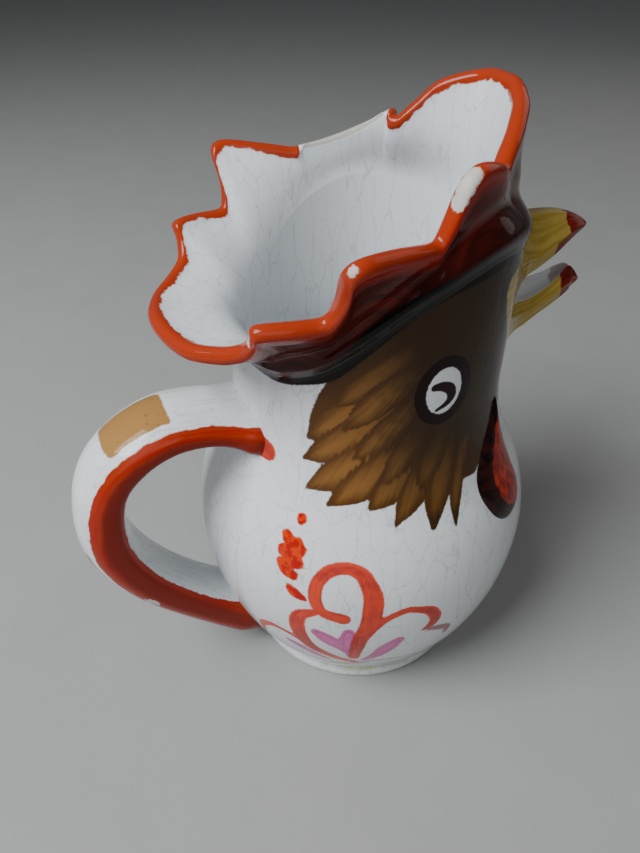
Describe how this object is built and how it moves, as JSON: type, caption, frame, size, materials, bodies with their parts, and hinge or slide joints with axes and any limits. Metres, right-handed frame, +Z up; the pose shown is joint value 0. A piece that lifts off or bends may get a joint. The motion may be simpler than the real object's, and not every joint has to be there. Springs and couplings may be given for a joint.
{
  "type": "ceramic pitcher",
  "caption": "Round hand-painted ceramic jug with a rooster's head: scalloped flared comb round the mouth, open beak as spout, wattles in relief and a strap handle.",
  "frame": {"origin": "centre of the foot's resting face", "axes": "+Z up out of the mouth, +X towards the beak, handle on -X"},
  "size_m": [0.205, 0.132, 0.2234],
  "materials": {
    "white_glaze": "gloss",
    "comb_glaze": "gloss",
    "beak_glaze": "gloss",
    "wattle_glaze": "gloss"
  },
  "bodies": {
    "root": {"vessel": "white_glaze", "foot": "white_glaze", "comb": "comb_glaze", "handle": "white_glaze", "beak_upper": "beak_glaze", "beak_lower": "beak_glaze", "wattle_right": "wattle_glaze", "wattle_left": "wattle_glaze"}
  },
  "joints": []
}
